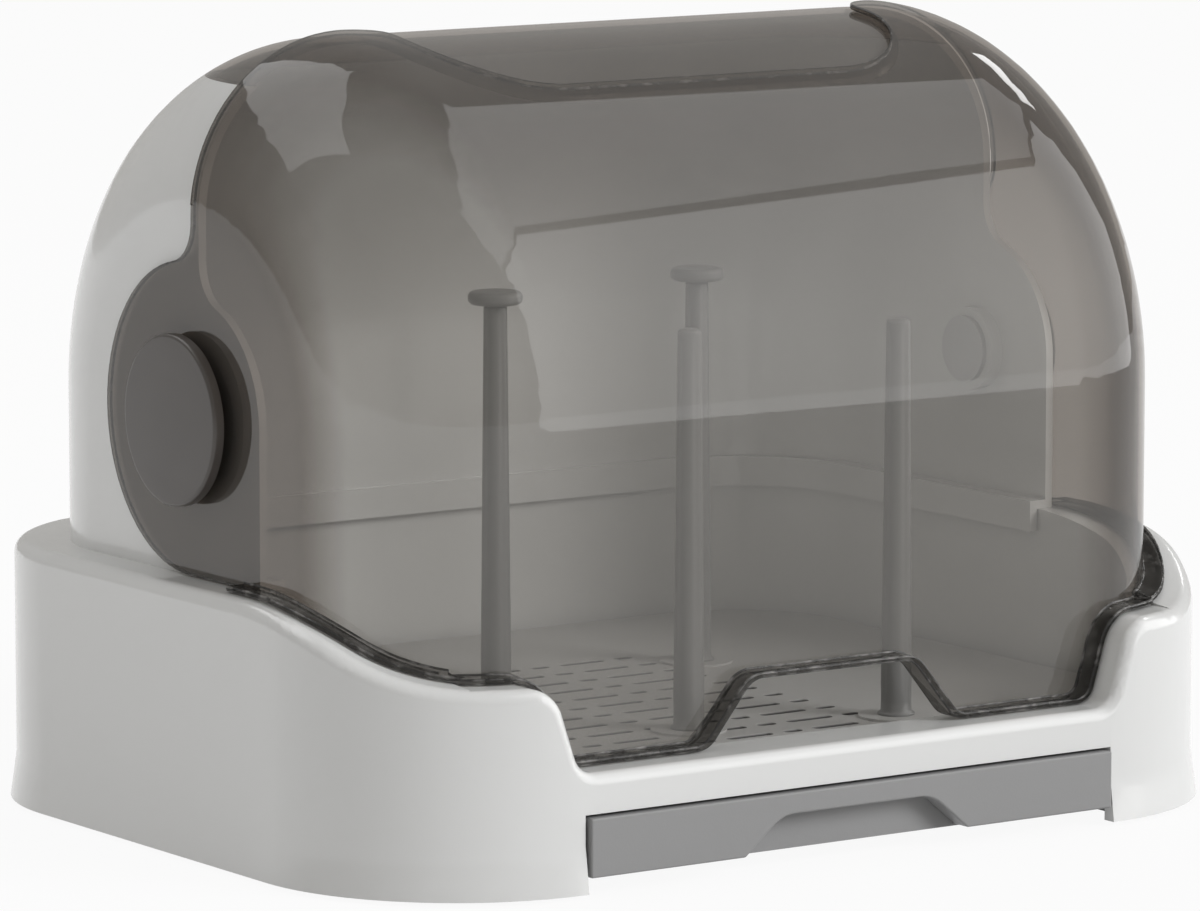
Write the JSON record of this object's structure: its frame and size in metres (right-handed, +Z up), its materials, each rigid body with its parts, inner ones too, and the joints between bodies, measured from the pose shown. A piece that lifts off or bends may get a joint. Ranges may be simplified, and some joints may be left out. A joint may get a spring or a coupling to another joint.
{
  "type": "baby bottle drying rack",
  "caption": "Drying cabinet for feeding bottles: white tub with drip drawer, slotted rack with pegs, rounded rear shell and a smoked see-through lid that swings back over it.",
  "frame": {"origin": "under the middle of the tub, on the table", "axes": "+Z up, the front with the drawer and the lid faces -Y, +X to the viewer's right"},
  "size_m": [0.37, 0.298, 0.2731],
  "materials": {
    "white_gloss": "gloss",
    "white_inner": "satin",
    "grey_inner": "satin",
    "drawer_grey": "satin",
    "rack_grey": "satin",
    "peg_grey": "satin",
    "smoke_lid": "clear smoked gloss",
    "smoke_cap": "clear smoked gloss",
    "smoke_disc": "smoked gloss",
    "foot_rubber": "matte",
    "steel": "zinc plated"
  },
  "bodies": {
    "cabinet": {"base_tub": "white_gloss", "base_floor": "grey_inner", "floor_screws": "steel", "foot_pad_front_left": "foot_rubber", "foot_pad_front_right": "foot_rubber", "foot_pad_rear_left": "foot_rubber", "foot_pad_rear_right": "foot_rubber", "drip_deck": "white_inner", "back_shell": "white_gloss", "top_cap": "smoke_cap", "hinge_shaft_left": "grey_inner", "hinge_shaft_right": "grey_inner", "hinge_disc_left": "smoke_disc", "hinge_disc_right": "smoke_disc", "hinge_washer_left": "grey_inner", "hinge_washer_right": "grey_inner", "hinge_screw_left": "steel", "hinge_screw_right": "steel"},
    "drawer": {"drawer_tray": "drawer_grey", "drawer_front": "drawer_grey"},
    "rack": {"drain_rack": "rack_grey", "peg_front_left": "peg_grey", "peg_front_right": "peg_grey", "peg_rear_left": "peg_grey", "peg_rear_right": "peg_grey", "peg_head_rear_left": "peg_grey", "peg_head_rear_right": "peg_grey"},
    "lid": {"lid": "smoke_lid"}
  },
  "joints": [
    {"name": "lid_hinge", "type": "hinge", "parent": "cabinet", "child": "lid", "pos_m": [0, 0, 0.1455], "axis": [-1, 0, 0], "range_deg": [0, 90]},
    {"name": "drawer_slide", "type": "slide", "parent": "cabinet", "child": "drawer", "axis": [0, -1, 0], "range_m": [0, 0.2]},
    {"name": "rack_lift", "type": "slide", "parent": "cabinet", "child": "rack", "axis": [0, 0, 1], "range_m": [0, 0.03]}
  ]
}
